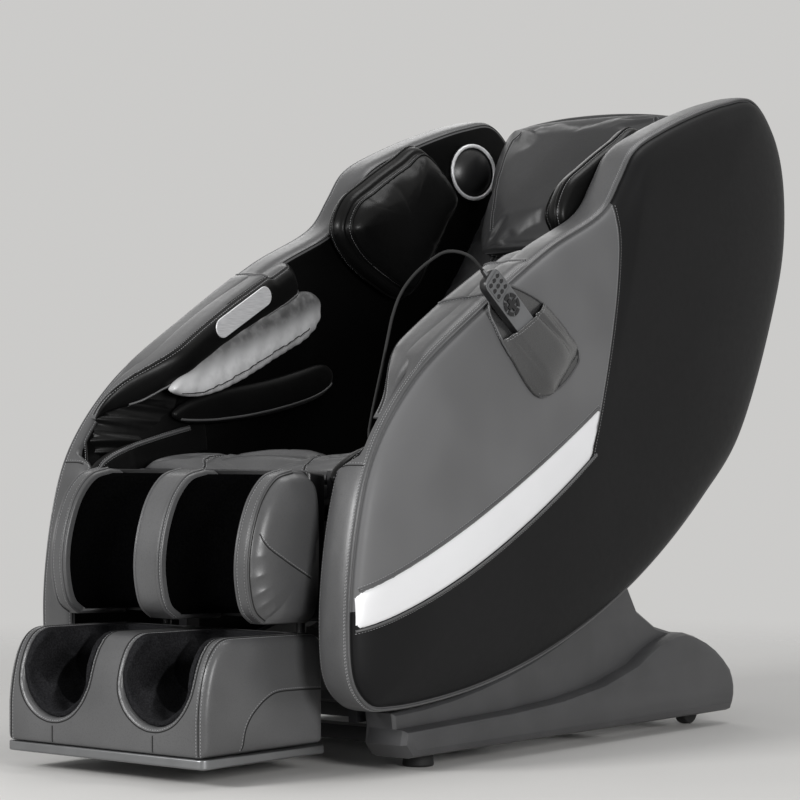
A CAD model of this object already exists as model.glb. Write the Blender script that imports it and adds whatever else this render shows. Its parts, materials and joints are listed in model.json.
import json
import math

import bmesh
import bpy
import numpy as np
from bpy.props import FloatProperty, FloatVectorProperty, PointerProperty
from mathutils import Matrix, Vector
from mathutils.bvhtree import BVHTree

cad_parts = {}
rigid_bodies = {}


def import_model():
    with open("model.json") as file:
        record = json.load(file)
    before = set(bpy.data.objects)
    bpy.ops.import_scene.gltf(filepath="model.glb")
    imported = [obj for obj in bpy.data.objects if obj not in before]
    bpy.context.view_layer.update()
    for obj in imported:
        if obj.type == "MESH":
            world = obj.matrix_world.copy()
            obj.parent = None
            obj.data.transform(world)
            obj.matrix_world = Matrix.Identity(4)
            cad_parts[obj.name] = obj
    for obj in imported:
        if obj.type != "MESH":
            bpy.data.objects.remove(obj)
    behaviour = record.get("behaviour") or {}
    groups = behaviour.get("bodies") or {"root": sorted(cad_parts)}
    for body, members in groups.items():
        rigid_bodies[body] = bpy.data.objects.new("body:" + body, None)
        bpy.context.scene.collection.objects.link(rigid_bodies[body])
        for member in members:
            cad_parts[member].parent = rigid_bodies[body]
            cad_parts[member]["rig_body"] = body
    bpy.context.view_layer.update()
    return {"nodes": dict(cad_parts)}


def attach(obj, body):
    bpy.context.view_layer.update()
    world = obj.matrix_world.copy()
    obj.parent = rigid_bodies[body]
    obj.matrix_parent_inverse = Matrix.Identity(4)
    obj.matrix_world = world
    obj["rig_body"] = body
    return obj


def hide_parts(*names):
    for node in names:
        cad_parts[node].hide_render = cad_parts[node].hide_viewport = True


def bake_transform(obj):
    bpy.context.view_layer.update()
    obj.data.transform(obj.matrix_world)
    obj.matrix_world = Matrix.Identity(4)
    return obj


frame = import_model()

bl_info = {
    "name": "Massage chair",
    "version": (1, 0, 0),
    "blender": (4, 5, 0),
    "location": "3D View > Sidebar > Chair",
    "description": "Upholstery, seams, speakers, handset and stage of a massage chair",
    "category": "Object",
}

MM = 0.001
# the rear seam's y over z, and the z over y of the stripe's edges and of the colour's edge under it:
# a, b and c of a t² + b t + c, in millimetres
REAR_SEAM = (-2.25519e-4, 0.578853, -177.643)
STRIPE_UPPER = (1.92711e-4, 0.560375, 541.099)
STRIPE_MIDDLE = (2.6602e-4, 0.583576, 501.81)
STRIPE_LOWER = (3.39320e-4, 0.606777, 462.520)


def curved(t, a, b, c):
    """Such a curve at t, which is a number, an array or a wire."""
    return t * t * a + t * b + c


# ---- sizes and colours that a user would change ----
def colour(label, text, *rgb):
    return FloatVectorProperty(name=label, description=text, default=rgb, size=3, subtype="COLOR", min=0, max=1)


def length(label, text, value):
    return FloatProperty(name=label, description=text, default=value, unit="LENGTH", min=0)


class ChairColours(bpy.types.PropertyGroup):
    front: colour("Front leather", "Lighter leather of the bands and cushions", 0.088, 0.088, 0.0895)
    panel: colour("Panel leather", "Leather of the front side panels", 0.155, 0.155, 0.157)
    head: colour("Head leather", "Darker leather of the back and the head pad", 0.042, 0.042, 0.043)
    side: colour("Side leather", "Dark leather of the rear side panels", 0.0085, 0.0085, 0.009)
    inner: colour("Inner leather", "Leather inside the arms and shoulders", 0.004, 0.004, 0.004)
    pleated: colour("Forearm leather", "Pale satin of the pleated forearm pads", 0.8, 0.8, 0.805)
    lining: colour("Lining fabric", "Knitted fabric in the calf and foot wells", 0.0014, 0.0014, 0.0015)
    stripe: colour("Stripe", "Satin band along each side", 0.86, 0.86, 0.87)
    thread: colour("Thread", "Sewing thread", 0.36, 0.36, 0.365)
    shadow: colour("Seam shadow", "Dark line of a closed seam", 0.004, 0.004, 0.004)
    plastic: colour("Base plastic", "Moulded covers of the base", 0.05, 0.05, 0.052)
    dark: colour("Dark plastic", "Handset case and speaker grilles", 0.012, 0.012, 0.0125)
    steel: colour("Painted steel", "Frames under the leather", 0.02, 0.02, 0.022)
    zinc: colour("Zinc plate", "Plated rods of the drives", 0.52, 0.53, 0.54)
    sole: colour("Sole metal", "Brushed metal under the foot unit", 0.24, 0.244, 0.25)
    rubber: colour("Rubber", "Wheels, feet, cord and rollers", 0.008, 0.008, 0.008)
    keys: colour("Keys", "Soft keys of the handset", 0.008, 0.008, 0.009)
    face: colour("Handset face", "Painted face under the keys", 0.13, 0.132, 0.135)
    plate: colour("Plate paint", "Silver paint of the oval plate", 0.82, 0.82, 0.83)


class ChairSizes(bpy.types.PropertyGroup):
    pitch: length("Stitch pitch", "From one stitch to the next", 0.0052)
    stitch: length("Stitch length", "Visible thread of one stitch", 0.0036)
    thread: length("Thread thickness", "Thickness of the sewing thread", 0.0009)
    piping: length("Piping radius", "Radius of the round welt in the edge seams", 0.0022)
    groove: length("Seam width", "Half the width of a closed seam", 0.0011)
    swell: length("Cushion swell", "How far the padding may bulge between its seams", 0.009)
    grain: length("Leather grain", "Size of one pebble of the leather", 0.0016)


class StageSettings(bpy.types.PropertyGroup):
    lens: FloatProperty(name="Lens", description="Focal length on a 36 mm wide frame", default=118.6, unit="CAMERA")
    heading: FloatProperty(name="Heading", description="How far the camera stands round to the chair's left",
                           default=math.radians(38.9), subtype="ANGLE")
    place: FloatVectorProperty(name="Camera place", description="Where the camera stands",
                               default=(2.946, -3.651, 0.542), subtype="TRANSLATION")
    rise: FloatProperty(name="Lens shift", description="Vertical shift of the picture", default=0.04)
    floor: colour("Floor", "Plain pale floor", 0.74, 0.73, 0.71)
    room: FloatProperty(name="Room light", description="Strength of the even light", default=0.3, min=0)
    lamps: FloatProperty(name="Lamp power", description="Scales the soft lamps", default=1.0, min=0)


def colours():
    return bpy.context.scene.chair_colours


def sizes():
    return bpy.context.scene.chair_sizes


# ---- nodes ----
class Wire:
    """A socket that takes part in Python arithmetic."""

    def __init__(self, tree, socket):
        self.tree = tree
        self.socket = socket

    def maths(self, operation, *values):
        node = put(self.tree, "ShaderNodeMath", {"operation": operation}, dict(enumerate(values)))
        return Wire(self.tree, node.outputs[0])

    def __add__(self, other):
        return self.maths("ADD", self, other)

    def __radd__(self, other):
        return self.maths("ADD", other, self)

    def __sub__(self, other):
        return self.maths("SUBTRACT", self, other)

    def __rsub__(self, other):
        return self.maths("SUBTRACT", other, self)

    def __mul__(self, other):
        return self.maths("MULTIPLY", self, other)

    def __rmul__(self, other):
        return self.maths("MULTIPLY", other, self)

    def __gt__(self, other):
        return self.maths("GREATER_THAN", self, other)

    def __lt__(self, other):
        return self.maths("LESS_THAN", self, other)

    def step(self, low, high):
        """0 below low, 1 above high, smooth between them."""
        node = put(self.tree, "ShaderNodeMapRange", {"interpolation_type": "SMOOTHSTEP"},
                   {"Value": self, "From Min": low, "From Max": high})
        return Wire(self.tree, node.outputs["Result"])


def put(tree, kind, settings=None, inputs=None):
    """A node of any type: its settings first, then its sockets' values or links."""
    node = tree.nodes.new(kind)
    for name, value in (settings or {}).items():
        setattr(node, name, value)
    for name, value in (inputs or {}).items():
        if isinstance(value, Wire):
            tree.links.new(value.socket, node.inputs[name])
        else:
            node.inputs[name].default_value = value
    return node


def out(tree, node, name=0):
    return Wire(tree, node.outputs[name])


# a Mix node's sockets for colours, by number, because its other kinds have the same names
MIX_FACTOR, MIX_A, MIX_B, MIX_RESULT = 0, 6, 7, 2


def paint(tree, factor, first, second):
    """Two colours mixed by a factor; each is a wire or three numbers."""
    first, second = (c if isinstance(c, Wire) else (*c, 1) for c in (first, second))
    node = put(tree, "ShaderNodeMix", {"data_type": "RGBA"}, {MIX_FACTOR: factor, MIX_A: first, MIX_B: second})
    return out(tree, node, MIX_RESULT)


def noise(tree, place, scale, detail=2.0, **more):
    node = put(tree, "ShaderNodeTexNoise", None, {"Vector": place, "Scale": scale, "Detail": detail, **more})
    return out(tree, node)


def axes_of(tree, place):
    """X, Y and Z of a place, as three wires."""
    node = put(tree, "ShaderNodeSeparateXYZ", None, {"Vector": place})
    return [out(tree, node, name) for name in "XYZ"]


def times(rgb, factor):
    return tuple(min(1.0, c * factor) for c in rgb)


def blank(name, **constants):
    """A new material and its shader, with the constants set on the shader's own sockets."""
    material = bpy.data.materials.new(name)
    material.use_nodes = True
    tree = material.node_tree
    shader = tree.nodes["Principled BSDF"]
    for socket, value in constants.items():
        shader.inputs[socket.replace("_", " ")].default_value = value
    return tree, shader, out(tree, put(tree, "ShaderNodeTexCoord"), "Object")


def wire_up(tree, shader, base=None, rough=None, height=None, strength=0.3, depth=0.0005):
    """Leads the base colour, the roughness and a bump from the height to the shader."""
    if height is not None:
        height = out(tree, put(tree, "ShaderNodeBump", None,
                               {"Height": height, "Strength": strength, "Distance": depth}))
    for name, wire in (("Base Color", base), ("Roughness", rough), ("Normal", height)):
        if wire is not None:
            tree.links.new(wire.socket, shader.inputs[name])


def pebbles(tree, place):
    """Leather grain: rounded pebbles with thin creases between them."""
    cell = put(tree, "ShaderNodeTexVoronoi", {"feature": "SMOOTH_F1"},
               {"Vector": place, "Scale": 1 / sizes().grain, "Smoothness": 0.35})
    return out(tree, cell, "Distance")


def leather(name, rgb, rough=0.36, gloss=0.4, coat=0.1, folds=0.5):
    """Grained leather with soft folds and worn patches."""
    tree, shader, place = blank(name, Coat_Weight=coat, Coat_Roughness=0.25, Specular_IOR_Level=gloss)
    grain = pebbles(tree, place)
    fold = noise(tree, place, 26, 3, Distortion=0.6)
    patch = noise(tree, place, 5.5, 2)
    worn = noise(tree, place, 90, 4)
    base = paint(tree, patch.step(0.35, 0.68), times(rgb, 0.86), times(rgb, 1.14))
    base = paint(tree, grain.step(0.5, 0.85) * 0.35, base, times(rgb, 0.55))
    roughness = rough + 0.16 * (worn - 0.5) + 0.1 * (patch - 0.5)
    height = (1 - grain) * 0.35 + worn * 0.25 + fold * folds * 4
    height = height + gathers(tree, place)
    wire_up(tree, shader, base, roughness, height, 0.35, 0.0006)


GATHERS_AT = (0, 0.206, 1.0)
GATHERS_RUN = (0.63, 0.776)


def gathers(tree, place):
    """Small creases across the rim where it dips at the shoulder."""
    middle = put(tree, "ShaderNodeVectorMath", {"operation": "MULTIPLY_ADD"},
                 {0: place, 1: (0, 1, 1), 2: [-p for p in GATHERS_AT]})
    away = put(tree, "ShaderNodeVectorMath", {"operation": "LENGTH"}, {0: out(tree, middle)})
    near = 1 - out(tree, away, "Value").step(0.014, 0.042)
    y, z = axes_of(tree, place)[1:]
    run = y * GATHERS_RUN[0] + z * GATHERS_RUN[1]
    wander = noise(tree, place, 55, 2)
    return ((run * 720 + wander * 3).maths("SINE") * near) * 2.2


def sheen_leather(name, rgb):
    """Pale satin whose upper side goes dark under the arm band."""
    tree, shader, place = blank(name, Coat_Weight=0.25, Coat_Roughness=0.28, Specular_IOR_Level=0.4)
    y, z = axes_of(tree, place)[1:]
    pale = 1 - (z - 0.376 * y).step(0.722, 0.774)
    grain = pebbles(tree, place)
    streak = noise(tree, place, 60, 3)
    base = paint(tree, pale, times(rgb, 0.1), rgb)
    base = paint(tree, streak.step(0.4, 0.7) * 0.25, base, times(rgb, 0.5))
    wire_up(tree, shader, base, 0.36 + 0.1 * (streak - 0.5), (1 - grain) * 0.3 + streak * 0.4, 0.3, 0.0005)


def shell_leather(name, front):
    """The outer skin: light in front of the rear seam and above the stripe, dark elsewhere."""
    tree, shader, place = blank(name, Coat_Weight=0.02, Coat_Roughness=0.3, Specular_IOR_Level=0.13)
    y, z = axes_of(tree, place)[1:]
    seam_y, edge_z = (curved(t, a / MM, b, c * MM) for t, (a, b, c) in ((z, REAR_SEAM), (y, STRIPE_MIDDLE)))
    light = (y < seam_y) * (z > edge_z)
    grain = pebbles(tree, place)
    patch = noise(tree, place, 4, 2)
    worn = noise(tree, place, 80, 4)
    fold = noise(tree, place, 16, 2, Distortion=0.5)
    side = tuple(colours().side)
    tone = paint(tree, light, side, front)
    shade = paint(tree, light, times(side, 0.8), times(front, 0.84))
    base = paint(tree, patch.step(0.35, 0.65), shade, tone)
    roughness = 0.5 - light * 0.08 + 0.12 * (worn - 0.5)
    height = (1 - grain) * 0.3 + worn * 0.25 + fold * 1.6
    wire_up(tree, shader, base, roughness, height, 0.3, 0.0006)


def fabric(name, rgb):
    """A fine knit: rows of small loops, with a soft nap."""
    tree, shader, place = blank(name, Roughness=0.95, Specular_IOR_Level=0.0, Sheen_Weight=0.003, Sheen_Roughness=0.5)
    x, y, z = axes_of(tree, place)
    loops = (x * 2600).maths("SINE") * ((y + z) * 2600).maths("SINE")
    nap = noise(tree, place, 420, 3)
    base = paint(tree, nap.step(0.3, 0.75), times(rgb, 0.75), times(rgb, 1.7))
    wire_up(tree, shader, base, None, loops * 0.5 + nap, 0.4, 0.0006)


def moulded(name, rgb, rough):
    """Spark-eroded plastic or rubber."""
    tree, shader, place = blank(name, Specular_IOR_Level=0.45)
    fine = noise(tree, place, 900, 2)
    broad = noise(tree, place, 12, 3)
    base = paint(tree, broad.step(0.3, 0.7), times(rgb, 0.88), times(rgb, 1.12))
    wire_up(tree, shader, base, rough + 0.1 * (broad - 0.5), fine, 0.25, 0.0003)


def metal(name, rgb, rough, brushed=0.0):
    """Bare metal, plain or brushed across its width."""
    tree, shader, place = blank(name, Metallic=1.0)
    if brushed:
        turned = put(tree, "ShaderNodeMapping", None, {"Vector": place, "Scale": (6, 900, 900)})
        lines = noise(tree, out(tree, turned), 1.0, 3)
    else:
        lines = noise(tree, place, 300, 3)
    smudge = noise(tree, place, 18, 3)
    base = paint(tree, smudge.step(0.3, 0.7), times(rgb, 0.9), rgb)
    roughness = rough + 0.14 * (smudge - 0.5) + brushed * (lines - 0.5)
    wire_up(tree, shader, base, roughness, lines, 0.12, 0.0002)


def painted(name, rgb):
    """Powder-coated steel."""
    tree, shader, place = blank(name, Specular_IOR_Level=0.5)
    peel = noise(tree, place, 500, 2)
    broad = noise(tree, place, 9, 3)
    base = paint(tree, broad.step(0.3, 0.7), times(rgb, 0.85), times(rgb, 1.1))
    wire_up(tree, shader, base, 0.42 + 0.12 * (peel - 0.5), peel, 0.3, 0.0003)


def satin(name, rgb):
    """The stripe: smooth coated sheet with a faint grain."""
    tree, shader, place = blank(name, Coat_Weight=0.2, Coat_Roughness=0.3)
    fine = noise(tree, place, 700, 2)
    broad = noise(tree, place, 7, 2)
    base = paint(tree, broad.step(0.3, 0.7), times(rgb, 0.965), rgb)
    wire_up(tree, shader, base, 0.36 + 0.08 * (fine - 0.5), fine, 0.1, 0.0002)


def spun(name, rgb):
    """Twisted thread."""
    tree, shader, place = blank(name, Roughness=0.7)
    twist = noise(tree, place, 2500, 2)
    base = paint(tree, twist.step(0.35, 0.65), times(rgb, 0.7), times(rgb, 1.2))
    wire_up(tree, shader, base, None, twist, 0.3, 0.0002)


def silver(name, rgb):
    """Silver paint with a fine brushed grain."""
    tree, shader, place = blank(name, Metallic=0.25, Coat_Weight=0.3, Coat_Roughness=0.2)
    turned = put(tree, "ShaderNodeMapping", None, {"Vector": place, "Scale": (900, 40, 900)})
    lines = noise(tree, out(tree, turned), 1.0, 3)
    base = paint(tree, lines.step(0.3, 0.7), times(rgb, 0.85), times(rgb, 1.1))
    wire_up(tree, shader, base, 0.34 + 0.2 * (lines - 0.5), lines, 0.1, 0.0002)


# finish: its maker, its colour, how many times as bright that is made, and the maker's own numbers
FINISHES = {
    "front_leather": (leather, "front", 1),
    "head_leather": (leather, "head", 1, 0.42, 0.28, 0.05),
    "side_leather": (leather, "side", 1, 0.5, 0.12, 0.02),
    "inner_leather": (leather, "inner", 1, 0.36, 0.16, 0.05, 0.7),
    "wall_leather": (leather, "inner", 0.7, 0.5, 0.05, 0.01),
    "pouch_leather": (leather, "front", 0.4, 0.26, 0.8, 0.35, 0.6),
    "pleated_leather": (sheen_leather, "pleated", 1),
    "shell_leather": (shell_leather, "panel", 1),
    "well_fabric": (fabric, "lining", 11),
    "lining_fabric": (fabric, "lining", 1),
    "stripe_sheet": (satin, "stripe", 1),
    "thread": (spun, "thread", 1),
    "seam_shadow": (moulded, "shadow", 1, 0.8),
    "base_plastic": (moulded, "plastic", 1, 0.42),
    "dark_plastic": (moulded, "dark", 1, 0.32),
    "frame_steel": (painted, "steel", 1),
    "zinc_steel": (metal, "zinc", 1, 0.34),
    "plate_paint": (silver, "plate", 1),
    "sole_metal": (metal, "sole", 1, 0.36, 0.25),
    "rubber": (moulded, "rubber", 1, 0.7),
    "keys": (moulded, "keys", 1, 0.28),
    "handset_face": (moulded, "face", 1, 0.36),
}


def finish_of(name):
    """The material for that finish, made when it is first asked for; the frame's own have the plain names."""
    label = name + "_finish"
    if label not in bpy.data.materials:
        maker, shade, factor, *numbers = FINISHES[name]
        maker(label, times(getattr(colours(), shade), factor), *numbers)
    return bpy.data.materials[label]


# ---- lines and meshes, in millimetres ----
def resample(points, count, closed=False):
    """Points evenly spaced along a line; a float count is the spacing instead."""
    p = np.asarray(points, float)
    if closed:
        p = np.vstack([p, p[:1]])
    run = np.concatenate([[0], np.cumsum(np.linalg.norm(np.diff(p, axis=0), axis=1))])
    if isinstance(count, float):
        count = max(3, int(round(run[-1] / count)) + 1)
    at = np.linspace(0, run[-1], count + closed)[:count]
    return np.stack([np.interp(at, run, p[:, k]) for k in range(p.shape[1])], 1)


def spline(points, count, closed=False):
    """A smooth curve through the points, evenly spaced."""
    p = np.asarray(points, float)
    if closed:
        p = np.vstack([p[-1:], p, p[:2]])
    else:
        p = np.vstack([2 * p[:1] - p[1:2], p, 2 * p[-1:] - p[-2:-1]])
    dense = []
    for a, b, c, d in zip(p, p[1:], p[2:], p[3:]):
        t0 = 0.0
        t1 = t0 + max(np.linalg.norm(b - a), 1e-6) ** 0.5
        t2 = t1 + max(np.linalg.norm(c - b), 1e-6) ** 0.5
        t3 = t2 + max(np.linalg.norm(d - c), 1e-6) ** 0.5
        t = np.linspace(t1, t2, 24, endpoint=False)[:, None]
        ab = (t1 - t) / (t1 - t0) * a + (t - t0) / (t1 - t0) * b
        bc = (t2 - t) / (t2 - t1) * b + (t - t1) / (t2 - t1) * c
        cd = (t3 - t) / (t3 - t2) * c + (t - t2) / (t3 - t2) * d
        first = (t2 - t) / (t2 - t0) * ab + (t - t0) / (t2 - t0) * bc
        second = (t3 - t) / (t3 - t1) * bc + (t - t1) / (t3 - t1) * cd
        dense.append((t2 - t) / (t2 - t1) * first + (t - t1) / (t2 - t1) * second)
    dense = np.vstack(dense + ([] if closed else [p[-2:-1]]))
    return resample(dense, count, closed)


def smoothstep(value, low, high):
    t = np.clip((value - low) / (high - low), 0, 1)
    return t * t * (3 - 2 * t)


def steps(line, closed=False):
    """The way on at each point of a line."""
    return np.roll(line, -1, 0) - np.roll(line, 1, 0) if closed else np.gradient(line, axis=0)


def square_to(way):
    """Unit vectors square to those of a flat line, on its left."""
    normal = np.stack([-way[:, 1], way[:, 0]], 1)
    return normal / np.linalg.norm(normal, axis=1, keepdims=True)


def new_object(name, data):
    """Puts a mesh, a lamp or a camera into the scene."""
    item = bpy.data.objects.new(name, data)
    bpy.context.scene.collection.objects.link(item)
    return item


def mesh_piece(name, points, faces, *finishes):
    """A mesh whose faces point outwards, from points in millimetres."""
    mesh = bpy.data.meshes.new(name)
    mesh.from_pydata((np.asarray(points, float) * MM).tolist(), [], faces)
    work = bmesh.new()
    work.from_mesh(mesh)
    bmesh.ops.recalc_face_normals(work, faces=work.faces)
    work.to_mesh(mesh)
    work.free()
    mesh.shade_smooth()
    piece = new_object(name, mesh)
    for finish in finishes:
        mesh.materials.append(finish_of(finish))
    return piece


def lofted(name, rings, *finishes, slots=None):
    """A closed skin over rings of points with a hub at each end; slots[k] is band k's finish."""
    rings = np.asarray(rings, float)
    count, sides = rings.shape[:2]
    points = np.vstack([rings.reshape(-1, 3), rings[0].mean(0), rings[-1].mean(0)])
    turn = [(i, (i + 1) % sides) for i in range(sides)]
    faces = [(k * sides + i, k * sides + j, (k + 1) * sides + j, (k + 1) * sides + i)
             for k in range(count - 1) for i, j in turn]
    faces += [(count * sides, j, i) for i, j in turn]
    faces += [(count * sides + 1, (count - 1) * sides + i, (count - 1) * sides + j) for i, j in turn]
    piece = mesh_piece(name, points, faces, *finishes)
    if slots is not None:
        index = [slots[k] for k in range(count - 1) for i in turn] + [slots[0]] * sides + [slots[-1]] * sides
        piece.data.polygons.foreach_set("material_index", index)
    return piece


def zoned(piece, finish, test):
    """Covers the faces that pass the test with another finish; it is given their middle and their normal."""
    piece.data.materials.append(finish_of(finish))
    last = len(piece.data.materials) - 1
    for face in piece.data.polygons:
        if test(face.center / MM, face.normal):
            face.material_index = last


EDGE_ROLL = 26
# how far to the eye a ring may shrink, by its inset: rings with the same limit would lie on each other
EYE_LIMITS = ((1000, 0.96), (300, 0.91), (-1, 0.86))


def dome(outline, eye, profile, place):
    """Rings that step in from an outline by profile[0] and lie at profile[1]; past the edge roll
    they shrink to the eye."""
    outline = np.asarray(outline, float)
    normal = square_to(steps(outline, True))
    y, z = outline.T
    if np.sum(y * np.roll(z, -1) - z * np.roll(y, -1)) < 0:
        normal = -normal
    rings = []
    for inset, height in profile:
        rolled = outline + normal * min(inset, EDGE_ROLL)
        away = np.linalg.norm(rolled - eye, axis=1, keepdims=True)
        limit = next(share for least, share in EYE_LIMITS if inset > least)
        share = np.minimum(max(0, inset - EDGE_ROLL) / away, limit)
        at = rolled + (np.asarray(eye) - rolled) * share
        rings.append([place(a, b, height) for a, b in at])
    return np.array(rings)


def pad_rings(stations, points, half, thick, place, middle=0.0, crown=0.0, channels=(), squareness=4.0, blunt=6):
    """Rings of a cushion: half and thick may change along it, and channels sink into its face."""
    rings = []
    for k in range(stations):
        s = -math.cos(math.pi * (k + 0.35) / (stations - 0.3))
        end = (1 - abs(s) ** blunt) ** (1 / 3)
        across = -np.cos(np.linspace(0, np.pi, 500))
        rise = (1 - np.abs(across) ** squareness) ** (1 / 2.6) * thick(s) / 2 * (0.45 + 0.55 * end)
        x = across * half(s) * (0.97 + 0.03 * end)
        top = rise + crown * end * (1 - across ** 2)
        for at, deep, wide in channels:
            top = top - deep * end * np.exp(-((np.abs(x) - at) / wide) ** 2)
        loop = np.vstack([np.stack([x, top], 1), np.stack([x, -rise], 1)[::-1][1:-1]])
        level = middle(s) if callable(middle) else middle
        rings.append([place(a, s, b + level) for a, b in resample(loop, points, True)])
    return np.array(rings)


def mirrored(rings):
    return np.asarray(rings) * (-1, 1, 1)


SIDES = (("left", np.asarray), ("right", mirrored))


def on_side(y, z, x):
    return (x, y, z)


# ---- seams ----
def skin_of(*pieces):
    """A search tree over the pieces' faces, in millimetres."""
    points, faces = [], []
    for piece in pieces:
        start = len(points)
        points += [v.co / MM for v in piece.data.vertices]
        faces += [[start + i for i in face.vertices] for face in piece.data.polygons]
    return BVHTree.FromPolygons(points, faces)


def snapped(line, skin):
    """The nearest points of a skin and its normals there."""
    found = [skin.find_nearest(Vector(p)) for p in line]
    return np.array([f[0] for f in found]), np.array([f[1] for f in found])


def cast(flat, skin):
    """Points (y, z) thrown onto a skin along X, from beyond the left side."""
    hits = [skin.ray_cast(Vector((600, y, z)), Vector((-1, 0, 0)))[0] for y, z in flat]
    return np.array([h for h in hits if h is not None])


def beside(line, normals, offset, closed=False):
    """The line moved sideways within the skin."""
    side = np.cross(normals, steps(line, closed))
    side /= np.maximum(np.linalg.norm(side, axis=1, keepdims=True), 1e-9)
    return line + side * offset


class Sewing:
    """Collects the seams of one body and makes their grooves, piping and stitches."""

    def __init__(self, name, body):
        self.name = name
        self.body = body
        self.lines = {"groove": [], "piping": [], "stitch": []}

    def seam(self, line, skin, rows=(3.5,), closed=False, piped=0.0, grooved=True):
        """A sewn seam along a line: a groove or a round welt, and a row of stitches at each offset."""
        line, normals = snapped(resample(line, 6.0, closed), skin)
        if piped:
            self.lines["piping"].append((line + normals * piped, closed))
        elif grooved:
            self.lines["groove"].append((line, closed))
        for offset in rows:
            row, lifted = snapped(beside(line, normals, offset, closed), skin)
            self.lines["stitch"].append((row + lifted * 0.15, closed))

    def both(self, line, skin, **how):
        """The same seam on the left and on the right."""
        self.seam(line, skin[0], **how)
        how["rows"] = [-offset for offset in how.get("rows", (3.5,))]
        self.seam(mirrored(line), skin[1], **how)

    def finish(self, welt="front_leather"):
        size = sizes()
        made = []
        if self.lines["groove"]:
            made.append(grow(self.name + "_seams", tube_tree("seam_shadow"), self.lines["groove"],
                             Radius=size.groove, Sides=6))
        if self.lines["piping"]:
            made.append(grow(self.name + "_piping", tube_tree(welt), self.lines["piping"],
                             Radius=size.piping, Sides=10))
        if self.lines["stitch"]:
            made.append(grow(self.name + "_stitches", stitch_tree(), self.lines["stitch"],
                             Pitch=size.pitch, Length=size.stitch, Thickness=size.thread, Seed=3))
        for piece in made:
            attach(piece, self.body)


def new_tree(name, *inputs):
    """An empty geometry tree with named inputs, each given as (name, kind, value)."""
    tree = bpy.data.node_groups.new(name, "GeometryNodeTree")
    tree.interface.new_socket("Geometry", in_out="INPUT", socket_type="NodeSocketGeometry")
    tree.interface.new_socket("Geometry", in_out="OUTPUT", socket_type="NodeSocketGeometry")
    for label, kind, value in inputs:
        socket = tree.interface.new_socket(label, in_out="INPUT", socket_type="NodeSocket" + kind)
        socket.default_value = value
    start = put(tree, "NodeGroupInput")
    return tree, {s.name: Wire(tree, s) for s in start.outputs if s.name}


def end_tree(tree, geometry, finish):
    """Realize Instances and Set Material close every tree."""
    real = put(tree, "GeometryNodeRealizeInstances", None, {"Geometry": geometry})
    shaded = put(tree, "GeometryNodeSetShadeSmooth", None, {"Geometry": out(tree, real), "Shade Smooth": True})
    covered = put(tree, "GeometryNodeSetMaterial", None,
                  {"Geometry": out(tree, shaded), "Material": finish_of(finish)})
    put(tree, "NodeGroupOutput", None, {0: out(tree, covered)})
    return tree


def tube_tree(finish):
    """A round tube along every line."""
    name = "Tube " + finish
    if name in bpy.data.node_groups:
        return bpy.data.node_groups[name]
    tree, given = new_tree(name, ("Radius", "Float", 0.001), ("Sides", "Int", 8))
    line = put(tree, "GeometryNodeMeshToCurve", None, {"Mesh": given["Geometry"]})
    ring = put(tree, "GeometryNodeCurvePrimitiveCircle", None,
               {"Radius": given["Radius"], "Resolution": given["Sides"]})
    tube = put(tree, "GeometryNodeCurveToMesh", None,
               {"Curve": out(tree, line), "Profile Curve": out(tree, ring), "Fill Caps": True})
    return end_tree(tree, out(tree, tube), finish)


def stitch_tree():
    """Short bars of thread in a row along every line, each lying a little askew."""
    name = "Stitches"
    if name in bpy.data.node_groups:
        return bpy.data.node_groups[name]
    tree, given = new_tree(name, ("Pitch", "Float", 0.005), ("Length", "Float", 0.003),
                           ("Thickness", "Float", 0.0008), ("Seed", "Int", 1))
    line = put(tree, "GeometryNodeMeshToCurve", None, {"Mesh": given["Geometry"]})
    spaced = put(tree, "GeometryNodeResampleCurve", {"mode": "LENGTH"},
                 {"Curve": out(tree, line), "Length": given["Pitch"]})
    along = put(tree, "GeometryNodeInputTangent")
    askew = put(tree, "FunctionNodeRandomValue", {"data_type": "FLOAT_VECTOR"},
                {"Min": (-0.1, -0.1, -0.1), "Max": (0.1, 0.1, 0.1), "Seed": given["Seed"]})
    aim = put(tree, "ShaderNodeVectorMath", {"operation": "ADD"},
              {0: out(tree, along), 1: out(tree, askew)})
    turned = put(tree, "FunctionNodeAlignRotationToVector", {"axis": "Z"}, {"Vector": out(tree, aim)})
    bead = put(tree, "GeometryNodeMeshUVSphere", None, {"Segments": 6, "Rings": 4, "Radius": 0.5})
    size = put(tree, "ShaderNodeCombineXYZ", None,
               {"X": given["Thickness"], "Y": given["Thickness"], "Z": given["Length"]})
    placed = put(tree, "GeometryNodeInstanceOnPoints", None,
                 {"Points": out(tree, spaced), "Instance": out(tree, bead),
                  "Rotation": out(tree, turned), "Scale": out(tree, size)})
    return end_tree(tree, out(tree, placed), "thread")


def grow(name, tree, lines, **values):
    """A seed of lines in millimetres, grown by a geometry tree into one plain mesh."""
    points, edges = [], []
    for line, closed in lines:
        start, count = len(points), len(line)
        points += (np.asarray(line) * MM).tolist()
        edges += [(start + i, start + i + 1) for i in range(count - 1)]
        edges += [(start + count - 1, start)] if closed else []
    mesh = bpy.data.meshes.new(name)
    mesh.from_pydata(points, edges, [])
    piece = new_object(name, mesh)
    modifier = piece.modifiers.new("grow", "NODES")
    modifier.node_group = tree
    for item in tree.interface.items_tree:
        if item.item_type == "SOCKET" and item.in_out == "INPUT" and item.name in values:
            modifier[item.identifier] = values[item.name]
    return plain_mesh(piece)


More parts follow.
